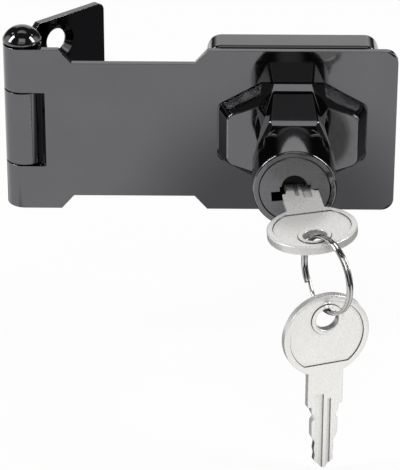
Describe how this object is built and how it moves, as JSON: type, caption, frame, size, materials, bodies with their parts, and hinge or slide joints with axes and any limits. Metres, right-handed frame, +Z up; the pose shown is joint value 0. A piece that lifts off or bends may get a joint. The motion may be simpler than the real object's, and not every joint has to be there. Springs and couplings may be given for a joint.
{
  "type": "keyed hasp lock",
  "caption": "Keyed twist-knob hasp: slotted strap on a hinge leaf over a surface lock base, knob unlocked, with key inserted and a spare on the ring.",
  "frame": {"origin": "knob axis on the rear mounting plane of the lock base", "axes": "+X along the strap away from the hinge, +Y into the door, +Z up; the front faces -Y"},
  "size_m": [0.0801, 0.0802, 0.0701],
  "materials": {
    "black_nickel_casting": "polished black nickel plate on a zinc casting",
    "black_nickel_steel": "polished black nickel plate on steel sheet",
    "bright_nickel": "bright nickel plate",
    "zinc_plated_steel": "zinc plated",
    "spring_steel": "bright spring steel",
    "brass": "stamped brass"
  },
  "bodies": {
    "lock": {"lock_base": "black_nickel_casting", "hasp_strap": "black_nickel_steel", "hinge_pin": "black_nickel_steel", "spring_washer": "spring_steel"},
    "leaf": {"hinge_leaf": "black_nickel_steel"},
    "knob": {"twist_knob": "black_nickel_casting", "stop_plate": "zinc_plated_steel", "knob_screw": "zinc_plated_steel"},
    "dog": {"locking_dog": "zinc_plated_steel"},
    "plug": {"cylinder_plug": "black_nickel_casting", "plug_retainer": "brass", "wafer_1": "brass", "wafer_2": "brass", "wafer_3": "brass", "wafer_4": "brass", "wafer_5": "brass", "wafer_spring_1": "spring_steel", "wafer_spring_2": "spring_steel", "wafer_spring_3": "spring_steel", "wafer_spring_4": "spring_steel", "wafer_spring_5": "spring_steel"},
    "key": {"key_in_lock": "bright_nickel"},
    "ring": {"key_ring": "bright_nickel"},
    "spare": {"spare_key": "bright_nickel"}
  },
  "joints": [
    {"name": "leaf_hinge", "type": "hinge", "parent": "lock", "child": "leaf", "pos_m": [-0.05494, -0.0039, 0], "axis": [0, 0, 1], "range_deg": [-43.4, 136.6]},
    {"name": "knob_turn", "type": "hinge", "parent": "lock", "child": "knob", "pos_m": [0, 0, 0], "axis": [0, 1, 0], "range_deg": [0, 90]},
    {"name": "key_turn", "type": "hinge", "parent": "knob", "child": "plug", "pos_m": [0, 0, 0], "axis": [0, 1, 0], "range_deg": [0, 90]},
    {"name": "dog_slide", "type": "slide", "parent": "knob", "child": "dog", "axis": [0, 0, 1], "range_m": [0, 0.00254]},
    {"name": "key_slide", "type": "slide", "parent": "plug", "child": "key", "axis": [0.1214, -0.9925, 0.0106], "range_m": [0, 0.0155]},
    {"name": "ring_swing", "type": "hinge", "parent": "key", "child": "ring", "pos_m": [0.00573, -0.05795, 0.00058], "axis": [0.5446, -0.8387, 0], "range_deg": [-12, 12]},
    {"name": "spare_swing", "type": "hinge", "parent": "ring", "child": "spare", "pos_m": [0.00573, -0.05795, -0.01408], "axis": [0.5446, -0.8387, 0], "range_deg": [-30, 30]}
  ],
  "couplings": [
    {"joint": "key_turn", "follows": "dog_slide", "rad_per_m": 617.07}
  ]
}
